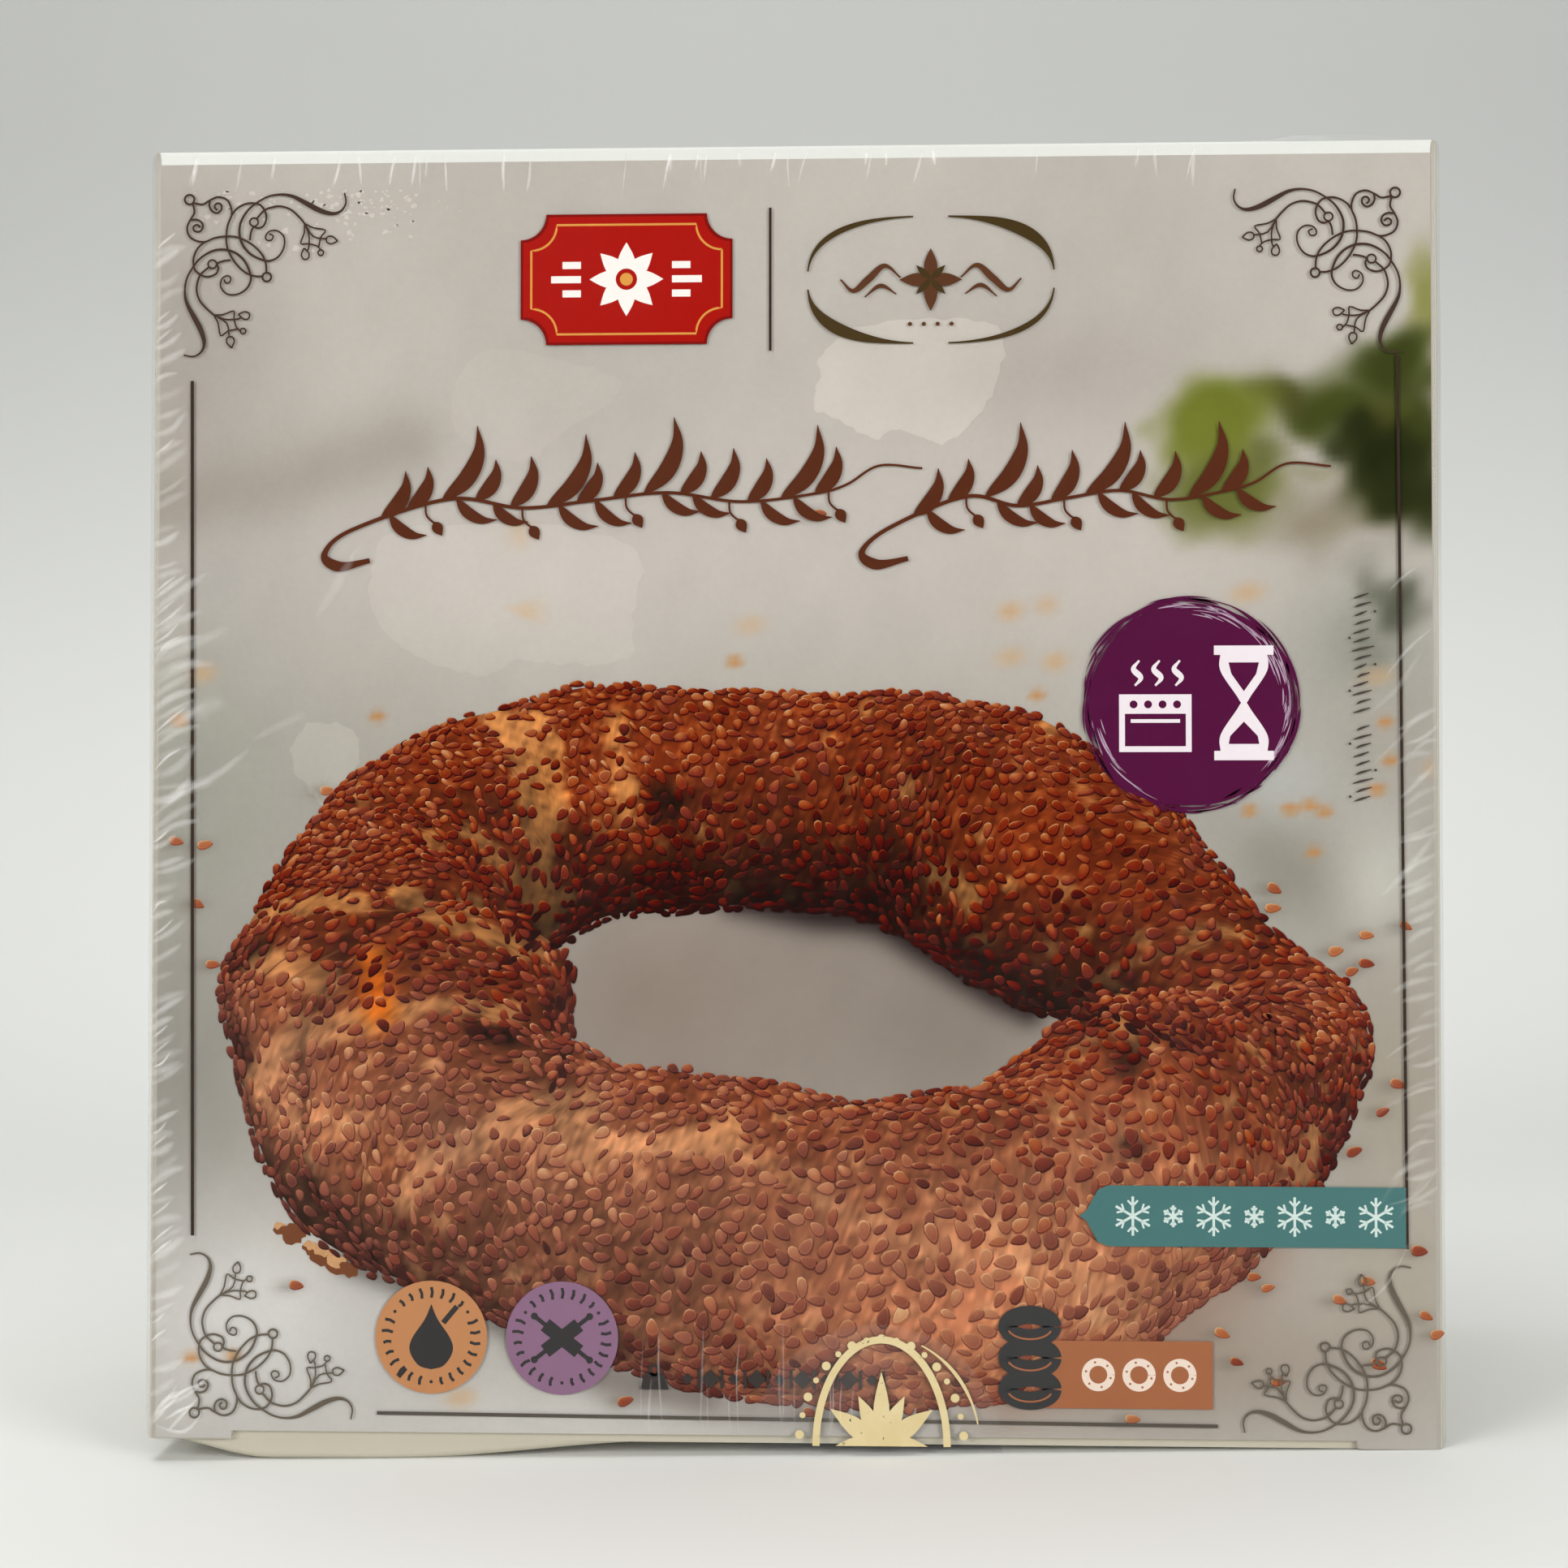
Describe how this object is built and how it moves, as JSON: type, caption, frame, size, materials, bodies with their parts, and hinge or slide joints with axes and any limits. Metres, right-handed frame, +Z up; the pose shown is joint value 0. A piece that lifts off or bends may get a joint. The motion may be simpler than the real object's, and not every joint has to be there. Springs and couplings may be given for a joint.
{
  "type": "shrink-wrapped bread ring carton",
  "caption": "Shut square folding carton for frozen sesame bread rings, tucked at both ends, with a round seal over its lower edge, in tight clear film.",
  "frame": {"origin": "middle of the bounding box, at the surface that the pack stands on", "axes": "+Z up, the printed front panel faces -Y, +X to the right of a viewer in front of it"},
  "size_m": [0.1834, 0.0756, 0.1849],
  "materials": {
    "printed_board": "coated board printed in warm grey and brown, under tight clear film",
    "seal_film": "clear adhesive disc with a pale gold ring",
    "print_ink": "printed inks on the coated board: browns, purple, teal, red, olive and orange",
    "shrink_film": "clear shrink film with fine wrinkles along the edges"
  },
  "bodies": {
    "root": {"carton": "printed_board", "seal": "seal_film"}
  },
  "joints": []
}
